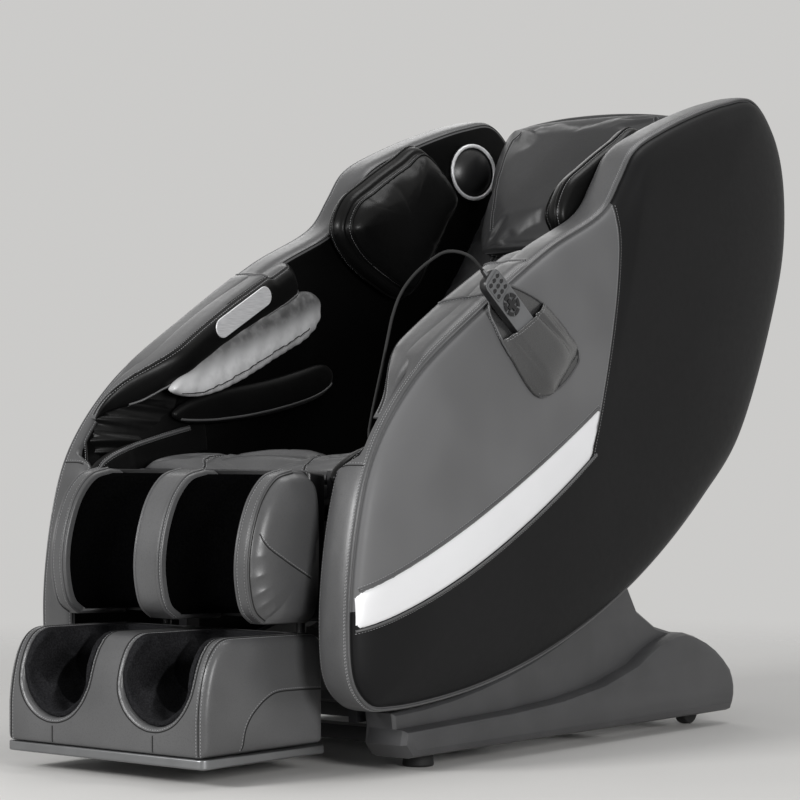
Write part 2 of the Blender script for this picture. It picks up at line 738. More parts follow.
# ---- copies of the rigid solids ----
def merged_copy(node, name, finish):
    """A copy of a solid with its loose triangles joined."""
    source = frame["nodes"][node]
    work = bmesh.new()
    work.from_mesh(source.data)
    bmesh.ops.remove_doubles(work, verts=work.verts, dist=2e-6)
    mesh = bpy.data.meshes.new(name)
    work.to_mesh(mesh)
    work.free()
    mesh.materials.clear()
    mesh.materials.append(finish_of(finish))
    return new_object(name, mesh)


def refined(node, finish, round_edge=0.6, angle=35):
    """The solid with whole flat faces, small rounded edges and its own finish."""
    piece = merged_copy(node, node + "_finished", finish)
    work = bmesh.new()
    work.from_mesh(piece.data)
    bmesh.ops.dissolve_limit(work, angle_limit=math.radians(1), verts=work.verts, edges=work.edges)
    work.to_mesh(piece.data)
    work.free()
    piece.data.shade_smooth()
    piece.data.set_sharp_from_angle(angle=math.radians(angle))
    if round_edge:
        bevel = piece.modifiers.new("rounded", "BEVEL")
        bevel.width = round_edge * MM
        bevel.segments = 2
        bevel.limit_method = "ANGLE"
        bevel.angle_limit = math.radians(angle)
        bevel.use_clamp_overlap = True
    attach(piece, frame["nodes"][node]["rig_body"])
    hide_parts(node)
    return piece


def plain_mesh(piece):
    """The piece with its modifiers made part of the mesh."""
    depsgraph = bpy.context.evaluated_depsgraph_get()
    made = bpy.data.meshes.new_from_object(piece.evaluated_get(depsgraph))
    piece.modifiers.clear()
    old, name = piece.data, piece.data.name
    piece.data = made
    bpy.data.meshes.remove(old)
    made.name = name
    return piece


def softened(node, name, finish, voxel, passes):
    """The solid as upholstery: an even skin with every edge rounded over."""
    piece = merged_copy(node, name, finish)
    remesh = piece.modifiers.new("skin", "REMESH")
    remesh.mode = "VOXEL"
    remesh.voxel_size = voxel * MM
    remesh.use_smooth_shade = True
    relax = piece.modifiers.new("relax", "SMOOTH")
    relax.factor = 0.5
    relax.iterations = passes
    plain_mesh(piece)
    piece.data.shade_smooth()
    piece.data.materials.clear()
    piece.data.materials.append(finish_of(finish))
    return piece


PUFF_FRAMES = 14
PUFF_SPARE = 0.02


def puff(piece, cap, pinned, pressure=4.0):
    """Swells a pad like a filled cover, by no more than the cap; pinned holds each point from 0, free, to 1."""
    mesh = piece.data
    start = np.array([v.co for v in mesh.vertices])
    group = piece.vertex_groups.new(name="held")
    for i, weight in enumerate(pinned):
        group.add([i], float(weight), "REPLACE")
    cloth = piece.modifiers.new("cloth", "CLOTH")
    settings = cloth.settings
    settings.quality = 5
    settings.mass = 0.3
    settings.tension_stiffness = settings.compression_stiffness = 12
    settings.shear_stiffness = 6
    settings.bending_stiffness = 0.8
    settings.use_pressure = True
    settings.uniform_pressure_force = pressure
    settings.effector_weights.gravity = 0
    settings.shrink_min = -PUFF_SPARE
    settings.vertex_group_mass = "held"
    settings.pin_stiffness = 5
    cloth.collision_settings.use_collision = False
    cloth.point_cache.frame_start = 1
    cloth.point_cache.frame_end = PUFF_FRAMES
    scene = bpy.context.scene
    for number in range(1, PUFF_FRAMES + 1):
        scene.frame_set(number)
    depsgraph = bpy.context.evaluated_depsgraph_get()
    shape = piece.evaluated_get(depsgraph).to_mesh()
    moved = np.array([v.co for v in shape.vertices]) - start
    piece.modifiers.remove(cloth)
    scene.frame_set(1)
    far = np.linalg.norm(moved, axis=1, keepdims=True)
    moved *= np.minimum(1, cap / np.maximum(far, 1e-9))
    mesh.vertices.foreach_set("co", (start + moved).ravel())
    piece.vertex_groups.clear()
    mesh.update()


def held_channel(points, at, wide):
    """1 in the two channels of a pad, 0 away from them."""
    return np.exp(-((np.abs(points[:, 0]) - at) / wide) ** 2)


def cushion(piece, body, nodes):
    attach(piece, body)
    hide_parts(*nodes)


# ---- side shells ----
CRADLE = [(-450 + 1480 * math.sin(math.radians(a)), 1583 - 1480 * math.cos(math.radians(a)))
          for a in np.linspace(0.4, 44.6, 8)]
SHELL_TOP = [(714, 765), (754, 900), (748, 1040), (708, 1122), (640, 1170), (545, 1158), (330, 1088), (236, 1042),
             (192, 988), (146, 934), (-20, 856), (-205, 750), (-388, 630), (-490, 512), (-530, 400), (-549, 240),
             (-536, 150), (-494, 110)]
SHELL_EYE = (100, 560)
# (inset, x) of each ring, from the flat inner wall round the rim to the middle of the outer skin
SHELL_PROFILE = [(140, 272), (100, 272), (60, 272), (30, 272), (18, 272), (13, 272.6), (8, 275), (4.5, 279), (2, 284),
                 (0.6, 290), (0.1, 297), (0, 306), (0, 316), (0.2, 324), (1.2, 331), (3, 335.5), (5.2, 337.2),
                 (7, 336.4), (8.4, 336.2), (9.4, 339.5), (11.2, 343.4), (14.5, 347.2), (20, 350.9), (28, 354.6),
                 (38, 358.3), (54, 362.6), (80, 367.2), (120, 371.1), (165, 374), (220, 376.1), (290, 377.7),
                 (400, 377.9), (4000, 378)]
# how many bands between the rings are wall and rim, where in x the rim crests, and its rise along the arm
WALL_BANDS, RIM_BANDS = 5, 13
CREST = 331
BAND_RISE = 6
# seams of a shell: two round it, as (inset, x), and two across its rim, as x from and to, y and z
RIM_WELT = (4.5, 337)
INNER_SEAM = (9, 275)
SHOULDER_SEAM = (262, 333, -75, 850)
FRONT_SEAM = (286, 332, -505, 492)


def shell_outline():
    return spline(CRADLE + SHELL_TOP, 300, True)


def shell_rings():
    """The padded shell: its inner side flares out to a thin rim at the front, and the rim rises along the arm."""
    outline = shell_outline()
    rings = dome(outline, SHELL_EYE, SHELL_PROFILE, on_side)
    y, z = outline.T
    normal = square_to(steps(outline, True))
    normal *= np.sign(np.sum(normal * (outline - SHELL_EYE), 1, keepdims=True))
    thin = smoothstep(z, 484, 512) * (1 - smoothstep(z, 632, 662)) * (y < -250)
    raised = smoothstep(y, -372, -348) * (1 - smoothstep(y, -80, -72)) * (z > 600)
    for ring, (inset, x) in zip(rings, SHELL_PROFILE):
        if x < CREST:
            ring[:, 0] = CREST - (CREST - x) * (1 - 0.74 * thin * (1 - smoothstep(inset, 60, 140)))
        cover = smoothstep(x, 274, 284) * (1 - smoothstep(x, 327, 335)) * (inset < 10)
        ring[:, 1:] += normal * (BAND_RISE * raised * cover)[:, None]
    return rings


def shell_ring(inset, x):
    return dome(shell_outline(), SHELL_EYE, [(inset, x)], on_side)[0]


def cross_line(start, end, y, z, count):
    """A straight line along X."""
    return [(x, y, z) for x in np.linspace(start, end, count)]


def stripe_rings(skin):
    """The band between its two edges, from the front welt to the rear seam, standing off the leather."""
    rows = []
    for v in np.linspace(0, 1, 9):
        y = np.linspace(-560, 84, 110)
        z = (1 - v) * curved(y, *STRIPE_LOWER) + v * curved(y, *STRIPE_UPPER)
        hits = cast(np.stack([y, z], 1), skin)
        kept = hits[(hits[:, 0] > 341.5) & (hits[:, 1] < curved(hits[:, 2], *REAR_SEAM) - 2)]
        rows.append(resample(kept, 90))
    rows = np.array(rows)
    lift = np.array([-1.2, 1.5, 2.3, 2.4, 2.4, 2.4, 2.3, 1.5, -1.2])[:, None]
    top = rows.copy()
    top[:, :, 0] += lift
    top[:, 0, 0] -= 1.6
    top[:, -1, 0] -= 1.6
    under = rows[::-1].copy()
    under[:, :, 0] -= 3
    return np.concatenate([top, under]).transpose(1, 0, 2)


class CHAIR_OT_side_shells(bpy.types.Operator):
    """Padded side shells with their piped edge, seams and white stripe"""

    bl_idname = "chair.side_shells"
    bl_label = "Side shells"

    def execute(self, context):
        rings = shell_rings()
        slots = [0] * WALL_BANDS + [1] * RIM_BANDS + [2] * (len(SHELL_PROFILE) - 1 - WALL_BANDS - RIM_BANDS)
        sewing = Sewing("side_shell", "cabin")
        skins = []
        for side, turn in SIDES:
            shell = lofted("side_shell_" + side, turn(rings), "wall_leather", "front_leather", "shell_leather",
                           slots=slots)
            cushion(shell, "cabin", ["side_panel_" + side])
            skins.append(skin_of(shell))
        sewing.both(shell_ring(*RIM_WELT), skins, rows=(-6, -9.5), closed=True, piped=0.6)
        sewing.both(shell_ring(*INNER_SEAM), skins, rows=(4,), closed=True)
        sewing.both(cross_line(*SHOULDER_SEAM, 16), skins, rows=(-4,), piped=0.8)
        sewing.both(cross_line(*FRONT_SEAM, 12), skins, rows=(4,))
        z = np.linspace(500, 936, 60)
        sewing.both(cast(np.stack([curved(z, *REAR_SEAM), z], 1), skins[0]), skins, rows=(-3.5, 3.5))
        for edge, end, row in ((STRIPE_UPPER, 74, 4), (STRIPE_LOWER, 66, -4)):
            y = np.linspace(-552, end, 120)
            line = cast(np.stack([y, curved(y, *edge)], 1), skins[0])
            sewing.both(line[line[:, 0] > 342], skins, rows=(row,), piped=0.7)
        sewing.finish()
        band = stripe_rings(skins[0])
        for side, turn in SIDES:
            stripe = lofted("stripe_" + side, turn(band), "stripe_sheet")
            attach(stripe, "cabin")
            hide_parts("accent_strip_" + side)
        return {"FINISHED"}


# ---- arms ----
ARM_LINE = [(-452, 566, 26), (-432, 586, 34), (-345, 652, 44), (-205, 742, 52), (-60, 822, 62), (6, 858, 60)]
# how far along the band steps down and begins to run into the wall, from -1 to 1, and half its width
ARM_STEP = 0.67
ARM_REAR = 0.86
ARM_HALF = 39
LOBE_LINE = [(-322, 616), (-240, 643), (-160, 677), (-60, 722), (20, 757), (66, 786)]


def along(line, s):
    """Place and heading (y, z) at s, from -1 to 1, on an evenly spaced line."""
    at = (s + 1) / 2 * (len(line) - 1)
    k = min(int(at), len(line) - 2)
    place = line[k] + (line[k + 1] - line[k]) * (at - k)
    heading = line[k + 1] - line[k]
    return place, heading[:2] / np.linalg.norm(heading[:2])


def off(at, heading, by):
    """The point (y, z) that lies by that much above a place on a line, square to it."""
    return at[0] - heading[1] * by, at[1] + heading[0] * by


def arm_level(s):
    """The band's top over the rim, stepping down at the rear, and its taper, from 0 at the front to 1."""
    taper = smoothstep(s, -1.02, -0.62)
    step = 8 * smoothstep(s, ARM_STEP, ARM_STEP + 0.035)
    return 14 * taper + 1 - step, taper


def arm_middle(s):
    """The band flares outwards with the shell's rim at its front, and runs into the wall at its rear."""
    return 275 + 42 * arm_flare(s) + 16 * smoothstep(s, ARM_REAR, 1.0)


def arm_flare(s):
    return 1 - smoothstep(s, -0.94, -0.26)


def arm_pad_rings():
    line = spline(ARM_LINE, 160)

    def low(s):
        return -along(line, s)[0][2] * (0.25 + 0.75 * arm_level(s)[1])

    def place(x, s, rise):
        at, slope = along(line, s)
        top, taper = arm_level(s)
        return (arm_middle(s) + x, *off(at, slope, rise + (top + low(s)) / 2))

    def half(s):
        return ARM_HALF - 31 * arm_flare(s) - 12 * smoothstep(s, ARM_REAR, 1.0)

    return pad_rings(110, 84, half, lambda s: arm_level(s)[0] - low(s), place, squareness=3.6, blunt=14)


def liner_rings(points, half, thick, base, crown=3.0, squareness=3.0, pleats=None, stations=64, around=60):
    """A pad on the arm's inner wall along a line of (y, z); base is its back's distance from the middle."""
    line = spline(points, 120)

    def place(x, s, rise):
        at, heading = along(line, s)
        out_by = rise + (pleats(x, s) if pleats and rise > 0 else 0)
        return (base - max(out_by, -10), *off(at, heading, x))

    return pad_rings(stations, around, half, thick, place, crown=crown, squareness=squareness)


def lobe_pleats(x, s):
    """Soft gathers that run down to the sewn lower edge."""
    low = smoothstep(-x, -14, 36)
    return 1.5 * low * math.sin(58 * s + 0.05 * x) + 0.8 * math.sin(23 * s - 0.11 * x + 1)


GUSSET_OUTER = [(-446, 500), (-462, 520), (-461, 543), (-444, 570), (-422, 593), (-394, 614), (-370, 632)]
GUSSET_INNER = [(-330, 500), (-310, 520), (-296, 545), (-290, 568), (-284, 590), (-278, 610), (-272, 628)]
BOLSTER_TOP = [(-494, 480), (-480, 495), (-446, 512), (-376, 530), (-305, 546), (-254, 556), (-224, 561)]


def gusset_rings():
    """Leather gathered into the rim: pleats fan in from the shell's front edge to the flat wall."""
    rings = []
    outer, inner = spline(GUSSET_OUTER, 96), spline(GUSSET_INNER, 96)
    share = np.linspace(0, 1, 26)
    for k, (a, b) in enumerate(zip(outer, inner)):
        at = a + (b - a) * share[:, None]
        end = math.sin(math.pi * (k + 0.5) / 96) ** 0.25
        pleat = abs(math.sin(k * 0.19 + 1.3 * math.sin(k * 0.07))) ** 0.7 * (0.65 + 0.35 * math.sin(k * 0.31 + 1))
        fan = np.sin(np.pi * np.clip(share * 1.1 + 0.1 * math.sin(k * 0.5), 0, 1) ** 0.6) ** 0.8
        x = 322 - 47 * share ** 0.9 - end * (7.5 * pleat * fan + 2 * np.sin(np.pi * share))
        top = [(p, q, r) for p, (q, r) in zip(x, at)]
        under = [(p + 7, q, r) for (p, q, r) in reversed(top)]
        rings.append(top + under)
    return np.array(rings)


class CHAIR_OT_arms(bpy.types.Operator):
    """Raised band, forearm pads, front gusset and side bolster of each arm, and the oval plate"""

    bl_idname = "chair.arms"
    bl_label = "Arms"

    def execute(self, context):
        bands, gussets = arm_pad_rings(), gusset_rings()
        lobes, flaps, bolsters = self.lobe(), self.flap(), self.bolster()
        skins = {name: [] for name in ("band", "lobe", "flap", "bolster")}
        for side, turn in SIDES:
            band = lofted("arm_band_" + side, turn(bands), "front_leather")
            zoned(band, "inner_leather", lambda at, normal: normal.x * at.x < 0 and abs(normal.x) > 0.4)
            cushion(band, "cabin", ["arm_pad_" + side])
            flap = lofted("forearm_flap_" + side, turn(flaps), "inner_leather")
            lobe = lofted("forearm_pad_" + side, turn(lobes), "pleated_leather")
            for piece in (flap, lobe):
                cushion(piece, "cabin", ["arm_liner_" + side])
            gusset = lofted("arm_gusset_" + side, turn(gussets), "inner_leather")
            bolster = lofted("side_bolster_" + side, turn(bolsters), "inner_leather")
            for piece in (gusset, bolster):
                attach(piece, "cabin")
            for name, piece in (("band", band), ("lobe", lobe), ("flap", flap), ("bolster", bolster)):
                skins[name].append(skin_of(piece))
        self.sew(Sewing("arm", "cabin"), skins)
        plate = refined("trim_plate_right", "plate_paint", 0.5)
        return {"FINISHED"}

    def sew(self, sewing, skins):
        line = spline(ARM_LINE, 160)
        upper, lower = [], []
        for s in np.linspace(-0.97, 0.97, 70):
            at, slope = along(line, s)
            top, taper = arm_level(s)
            face = arm_middle(s) - ARM_HALF + 31 * arm_flare(s)
            upper.append((face + 8, *off(at, slope, top - 3)))
            lower.append((face, *off(at, slope, -at[2] * (0.2 + 0.72 * taper))))
        sewing.both(upper, skins["band"], rows=(-3.5, 3.5))
        sewing.both(lower[8:], skins["band"], rows=(3.5,), piped=0.4)
        step = off(*along(line, ARM_STEP + 0.004), 14)
        sewing.both(cross_line(244, 304, *step, 16), skins["band"], rows=(-4,), piped=0.8)
        arm = skin_of(bpy.data.objects["side_shell_left"], bpy.data.objects["arm_band_left"])
        slant = [(x, -213 + (x - 262) * 0.4, 772) for x in np.linspace(244, 336, 20)]
        sewing.seam(slant, arm, rows=(-4,), piped=0.9)
        rear = [(236, *off(*along(line, 0.955), k)) for k in np.linspace(-48, 0, 12)]
        sewing.both(rear, skins["band"], rows=())
        hem = [(222, y - 15, z - 41) for y, z in spline(LOBE_LINE, 60)[4:-3]]
        sewing.both(hem, skins["lobe"], rows=(3,))
        edge = [(244, y, z) for y, z in spline([(-296, 556), (-180, 562), (-50, 580), (60, 604), (124, 628)], 40)]
        sewing.both(edge, skins["flap"], rows=(), piped=0.3)
        rim = [(256, y, z - 3) for y, z in spline(BOLSTER_TOP, 60)[:52]]
        sewing.both(rim, skins["bolster"], rows=(-3.5, 3.5), piped=0.3)
        sewing.finish()

    def lobe(self):
        def half(s):
            return 44 * (1 - abs(min(s, 0)) ** 2.3) ** 0.62 * (1 - max(s, 0) ** 9) ** 0.6 + 1

        return liner_rings(LOBE_LINE, half, lambda s: 26 + 10 * (1 - s * s), 253, 4, 2.4, lobe_pleats, 96, 84)

    def flap(self):
        line = [(-308, 572), (-200, 588), (-60, 606), (60, 632), (118, 652)]
        return liner_rings(line, lambda s: 30 * (1 - abs(min(s, 0)) ** 3) ** 0.6 * (1 - max(s, 0) ** 9) ** 0.5 + 2,
                           lambda s: 14 + 8 * (1 - s * s), 262, 3, 2.4)

    def bolster(self):
        line = [(y + 6, z - 26) for y, z in BOLSTER_TOP]
        return liner_rings(line, lambda s: 26, lambda s: 24 - 16 * smoothstep(s, -0.5, -0.25), 269, 1, 2.4)


# ---- shoulders and speakers ----
SHOULDER = [(116, 922), (140, 976), (200, 1016), (290, 1066), (352, 1096), (428, 1056), (472, 1000), (436, 932),
            (380, 856), (322, 802), (228, 826), (150, 872)]


def shoulder_rings():
    """An air pad from the wall inwards: a rolled edge, a sewn ledge and a domed face."""
    wall, deep = 271.7, 67.7
    profile = [(40, wall), (20, wall), (10, wall), (5, wall - 2), (2, wall - 6), (0.6, wall - 10), (0, wall - 16),
               (0.8, wall - 24), (2.6, wall - 30), (6, wall - 35), (10, wall - 37), (13, wall - 36), (15, wall - 39),
               (18, wall - 47), (24, wall - 54), (32, wall - 59), (44, wall - 63), (64, wall - 66), (110, wall - deep)]
    return dome(spline(SHOULDER, 150, True), (290, 950), profile, on_side)


class CHAIR_OT_shoulders(bpy.types.Operator):
    """Shoulder air pads and the speakers behind them"""

    bl_idname = "chair.shoulders"
    bl_label = "Shoulders and speakers"

    def execute(self, context):
        rings = shoulder_rings()
        sewing = Sewing("shoulder", "cabin")
        skins = []
        for side, turn in SIDES:
            pad = lofted("shoulder_pad_" + side, turn(rings), "inner_leather")
            depth = np.abs(rings.reshape(-1, 3)[:, 0])
            held = np.append(smoothstep(depth, 226, 238), [1, 0])
            puff(pad, sizes().swell * 0.3, held, pressure=1.5)
            cushion(pad, "cabin", ["shoulder_airbag_" + side])
            skins.append(skin_of(pad))
        sewing.both(rings[13], skins, rows=(-4,), closed=True, piped=0.4)
        sewing.both(rings[6], skins, rows=(-5,), closed=True, piped=0.4)
        sewing.finish("inner_leather")
        for side in ("left", "right"):
            ring = refined("speaker_ring_" + side, "dark_plastic", 0.8, 25)
            zoned(ring, "plate_paint", lambda at, normal: normal.x * at.x < 0 and abs(normal.x) > 0.25)
            refined("speaker_cover_" + side, "dark_plastic", 0, 40)
        return {"FINISHED"}


# ---- seat ----
SEAT_SEAM = 112
SEAT_HALF = 262
SEAT_THICK = 88
SEAT_ROLL = 10
# (y, z) of the cushion's middle at its front end, and how far it runs back and down from there
SEAT_FRONT = (-388, 462)
SEAT_LONG, SEAT_FALL = 504, 77
SEAT_TILT = 0.153


def seat_lobes(x):
    """Each of the three pads swells between its seams."""
    inner = 1 - (x / SEAT_SEAM) ** 2
    outer = 1 - ((np.abs(x) - (SEAT_HALF + SEAT_SEAM) / 2) / ((SEAT_HALF - SEAT_SEAM) / 2)) ** 2
    return np.where(np.abs(x) < SEAT_SEAM, inner, outer).clip(0, 1)


def seat_rings():
    slope = math.atan2(-SEAT_FALL, SEAT_LONG)

    def place(x, s, rise):
        y = SEAT_FRONT[0] + SEAT_LONG * (s + 1) / 2
        z = SEAT_FRONT[1] - SEAT_FALL * (s + 1) / 2
        up = max(rise, -0.42 * SEAT_THICK)
        if rise > 0:
            roll = SEAT_ROLL * math.exp(-((s + 0.9) / 0.3) ** 2)
            crease = 2.0 * math.sin(0.11 * x + 9 * s) * math.exp(-((x - 190) / 36) ** 2 - ((s + 0.9) / 0.2) ** 2)
            up += (roll + 4) * float(seat_lobes(np.array(x))) ** 0.5 + crease
        return (x, y - math.sin(slope) * up, z + math.cos(slope) * up)

    return pad_rings(84, 190, lambda s: SEAT_HALF, lambda s: SEAT_THICK, place, lambda s: -6 * (1 - s * s), 4,
                     [(SEAT_SEAM, 12, 8)], 7)


class CHAIR_OT_seat(bpy.types.Operator):
    """Seat cushion with three rolled pads along its front"""

    bl_idname = "chair.seat"
    bl_label = "Seat"

    def execute(self, context):
        rings = seat_rings()
        seat = lofted("seat_pad", rings, "front_leather")
        points = rings.reshape(-1, 3)
        channel = held_channel(points, SEAT_SEAM, 8)
        low = 1 - smoothstep(points[:, 2] + SEAT_TILT * points[:, 1], 385, 405)
        puff(seat, sizes().swell, np.append(np.clip(channel + low, 0, 1), [0.4, 0.4]))
        cushion(seat, "cabin", ["seat_cushion"])
        skin = skin_of(seat)
        sewing = Sewing("seat", "cabin")
        for x in (-SEAT_SEAM, SEAT_SEAM):
            line = [(x, y, SEAT_FRONT[1] - SEAT_FALL * (y - SEAT_FRONT[0]) / SEAT_LONG + 60)
                    for y in np.linspace(-372, 96, 60)]
            front = [(x, -400, z) for z in np.linspace(430, 500, 8)]
            sewing.seam(front + line, skin, rows=(-4, 4))
        sewing.finish()
        return {"FINISHED"}


# ---- back, in its leaned frame ----
UP = np.array([0, 0.57358, 0.81915])
OUT = np.array([0, -0.81915, 0.57358])
# (y, z) where the back starts, and its own seams and pillow, in x and up from there
HIP = (170, 400)
BACK_SEAM = 120
PILLOW_LOW, PILLOW_LONG = 552, 314


def in_back(x, up, out_by):
    return np.array([x, *HIP]) + UP * up + OUT * out_by


def back_depth(points):
    """How far points stand out of the back."""
    return (points - (0, *HIP)) @ OUT


def back_rings():
    def half(s):
        return 250 - 24 * smoothstep(s, -0.2, 0.4)

    def place(x, s, rise):
        return in_back(x, -16 + 888 * (s + 1) / 2, max(rise, -14))

    return pad_rings(96, 120, half, lambda s: 62, place, 13, -5, [(BACK_SEAM, 10, 10)], 6)


def pillow_half(s):
    return (156 + 42 * smoothstep(s, -1.1, 0.6)) * (1 - max(-s - 0.55, 0) ** 2.4 * 0.5)


def pillow_rings():
    """A broad crowned pad with rounded corners."""
    def place(x, s, rise):
        return in_back(x, PILLOW_LOW + PILLOW_LONG * (s + 1) / 2, rise)

    return pad_rings(80, 130, pillow_half, lambda s: 62, place, 68.1, 8, [], 2.6)


def pillow_seam(side):
    rows = []
    for s in np.linspace(-0.86, 0.9, 50):
        x = pillow_half(s) - 27 - 12 * max(-s - 0.55, 0)
        rows.append(in_back(side * x, PILLOW_LOW + PILLOW_LONG * (s + 1) / 2, 122))
    return rows


class CHAIR_OT_back(bpy.types.Operator):
    """Back cushion, head pillow and rear cover"""

    bl_idname = "chair.back"
    bl_label = "Back"

    def execute(self, context):
        self.cushion()
        self.pillow()
        cover = refined("rear_cover", "side_leather", 1.0, 40)
        return {"FINISHED"}

    def cushion(self):
        rings = back_rings()
        pad = lofted("back_pad", rings, "head_leather")
        points = rings.reshape(-1, 3)
        held = np.clip(held_channel(points, BACK_SEAM, 10) + 1 - smoothstep(back_depth(points), 12, 26), 0, 1)
        puff(pad, sizes().swell * 0.8, np.append(held, [0.4, 0.4]))
        cushion(pad, "back", ["back_cushion"])
        skin = skin_of(pad)
        sewing = Sewing("back", "back")
        for x in (-BACK_SEAM, BACK_SEAM):
            sewing.seam([in_back(x, up, 60) for up in np.linspace(10, 850, 60)], skin, rows=(-4, 4))
        sewing.finish()

    def pillow(self):
        rings = pillow_rings()
        pad = lofted("head_pad", rings, "head_leather")
        held = np.clip(1 - smoothstep(back_depth(rings.reshape(-1, 3)), 46, 60), 0, 1)
        puff(pad, sizes().swell * 0.8, np.append(held, [0.5, 0.5]), pressure=3)
        cushion(pad, "pillow", ["head_pillow"])
        skin = skin_of(pad)
        sewing = Sewing("head", "pillow")
        for side in (-1, 1):
            sewing.seam(pillow_seam(side), skin, rows=(-4, 4))
        sewing.finish()


# ---- leg rest ----
TRAY = -500.3
CALF = [(-602, 243), (-628, 262), (-641, 300), (-643, 344), (-632, 396), (-610, 442), (-578, 472), (-538, 482)]


def calf_outline(inset, count=70):
    """The front of the leg rest in the Y-Z plane, drawn in all round, up to the tray behind."""
    front = spline(CALF, count)
    loop = np.vstack([(TRAY, 240), front, (-512, 480), (TRAY, 472)])
    normal = square_to(steps(loop))
    if normal[len(loop) // 2, 0] < 0:
        normal = -normal
    drawn = loop + normal * inset
    drawn[0, 0] = drawn[-1, 0] = TRAY
    drawn[:, 0] = np.minimum(drawn[:, 0], TRAY)
    return drawn


def calf_line(x, inset=0):
    """The outline at x, without its ends by the tray."""
    return [(x, y, z) for y, z in calf_outline(inset)[2:-2]]


def tray_line(top, bottom, count, y=TRAY):
    """Points down the rear of a pad, between its ends."""
    return np.stack([np.full(count, y), np.linspace(top, bottom, count + 2)[1:-1]], 1)


def ridge_rings():
    """The round ridge between the two troughs."""
    x = np.concatenate([[-31, -30.4, -29, -26.5, -23], np.linspace(-18, 18, 9), [23, 26.5, 29, 30.4, 31]])
    edge = (np.abs(x) - 22) / 9
    insets = np.where(edge > 0, 6 * (1 - np.sqrt(np.clip(1 - np.clip(edge, 0, 1) ** 2, 0, 1))), 0)
    rings = []
    for at, inset in zip(x, insets):
        flat = calf_outline(inset)
        rings.append([(at, y, z) for y, z in np.vstack([flat, tray_line(flat[-1, 1], flat[0, 1], 12)])])
    return np.array(rings)


def calf_side_rings():
    """A D-shaped pad: a flat strip by the trough, a welt, then a side that swells out to its rear, puckered
    beside the welt."""
    rear = tray_line(471, 240, 20)
    eye = np.array([TRAY, 362.0])
    rings = []
    for x, inset in ((186, 6), (186.6, 3.6), (188, 1.8), (190.5, 0.5), (194, 0), (200, 0), (208, 0), (213, 0.3),
                     (216.5, 1.6), (218, 3.2), (218.6, 4.6)):
        edge = np.vstack([calf_outline(inset, 120), rear])
        rings.append([(x, y, z) for y, z in edge])
    run = np.concatenate([[0], np.cumsum(np.linalg.norm(np.diff(edge, axis=0), axis=1))])
    low = smoothstep(run, 10, 60) * (1 - smoothstep(run, 170, 260)) * (np.arange(len(edge)) < len(edge) - len(rear))
    pucker = 3.0 * np.abs(np.sin(run / 8.5 + 0.6 * np.sin(run / 21))) ** 0.7 * low
    for share, x in ((0.015, 220.6), (0.03, 223), (0.05, 225.8), (0.08, 228.8), (0.12, 231.4), (0.17, 233.6),
                     (0.24, 235.6), (0.32, 237.2), (0.42, 238.4), (0.55, 239.2), (0.7, 239.6), (0.88, 239.9)):
        drawn = edge + (eye - edge) * share
        sink = pucker * math.exp(-((share - 0.07) / 0.07) ** 2)
        rings.append([(x - d, y, z) for (y, z), d in zip(drawn, sink)])
    return np.array(rings)


def calf_liner_rings():
    """Knitted lining over two air cells, scooped for the calf, with loose folds by its edges."""
    rings = []
    for u in np.concatenate([[-1, -0.995, -0.97], np.linspace(-0.93, 0.93, 40), [0.97, 0.995, 1]]):
        front = calf_outline(8)[1:-1]
        share = np.linspace(0, 1, len(front))
        deep = np.minimum(84, -508 - front[:, 0]) * max(1 - abs(u) ** 2.6, 0) ** 0.75
        fold = (1.6 * np.sin(26 * share + 7 * u) + 1.1 * np.sin(41 * share - 9 * u)) * abs(u) * (1 - abs(u) ** 6)
        y = np.minimum(front[:, 0] + deep + fold * (1 - share ** 6), -502)
        y = y + 5 * max(0, abs(u) - 0.96) / 0.04
        loop = np.vstack([np.stack([y, front[:, 1]], 1), tray_line(front[-1, 1], front[0, 1], 20, TRAY - 0.1)])
        rings.append([(108.5 + 77.1 * u, a, b) for a, b in loop])
    return np.array(rings)


class CHAIR_OT_leg_rest(bpy.types.Operator):
    """Calf ridges, side pads and fabric troughs"""

    bl_idname = "chair.leg_rest"
    bl_label = "Leg rest"

    def execute(self, context):
        sewing = Sewing("calf", "leg_rest")
        ridge = lofted("calf_ridge_pad", ridge_rings(), "front_leather")
        cushion(ridge, "leg_rest", ["calf_ridge_middle"])
        skin = skin_of(ridge)
        for x, row in ((-25, 4), (25, -4)):
            sewing.seam(calf_line(x), skin, rows=(row,), piped=0.3)
        rings = calf_side_rings()
        liners = calf_liner_rings()
        skins = []
        for side, turn in SIDES:
            pad = lofted("calf_side_pad_" + side, turn(rings), "front_leather")
            cushion(pad, "leg_rest", ["calf_side_" + side])
            skins.append(skin_of(pad))
            liner = lofted("calf_lining_" + side, turn(liners), "lining_fabric")
            cushion(liner, "leg_rest", ["calf_liner_" + side])
        for x, row in ((192, -4), (215, 4)):
            sewing.both(calf_line(x), skins, rows=(row,), piped=0.3)
        sewing.both(calf_line(218.3, 4), skins, rows=())
        slant = [(245, y, z) for y, z in spline([(-639, 389), (-621, 368), (-581, 343), (-520, 312)], 20)]
        sewing.both(slant, skins, rows=(3,))
        sewing.finish()
        return {"FINISHED"}


# ---- foot unit ----
# each foot well: its middle from the chair's, the height that its folds turn round, its sewn edge's radius
WELL = 110.5
WELL_AXIS = 190
WELL_EDGE = 82


def well_line(radius):
    """The edge of a foot well on the front face, as (x, z) from its middle."""
    low = [(radius * math.cos(a), 163 + radius * math.sin(a)) for a in np.linspace(math.pi, 2 * math.pi, 40)]
    return [(-radius, z) for z in np.linspace(222, 168, 8)] + low + [(radius, z) for z in np.linspace(168, 222, 8)]


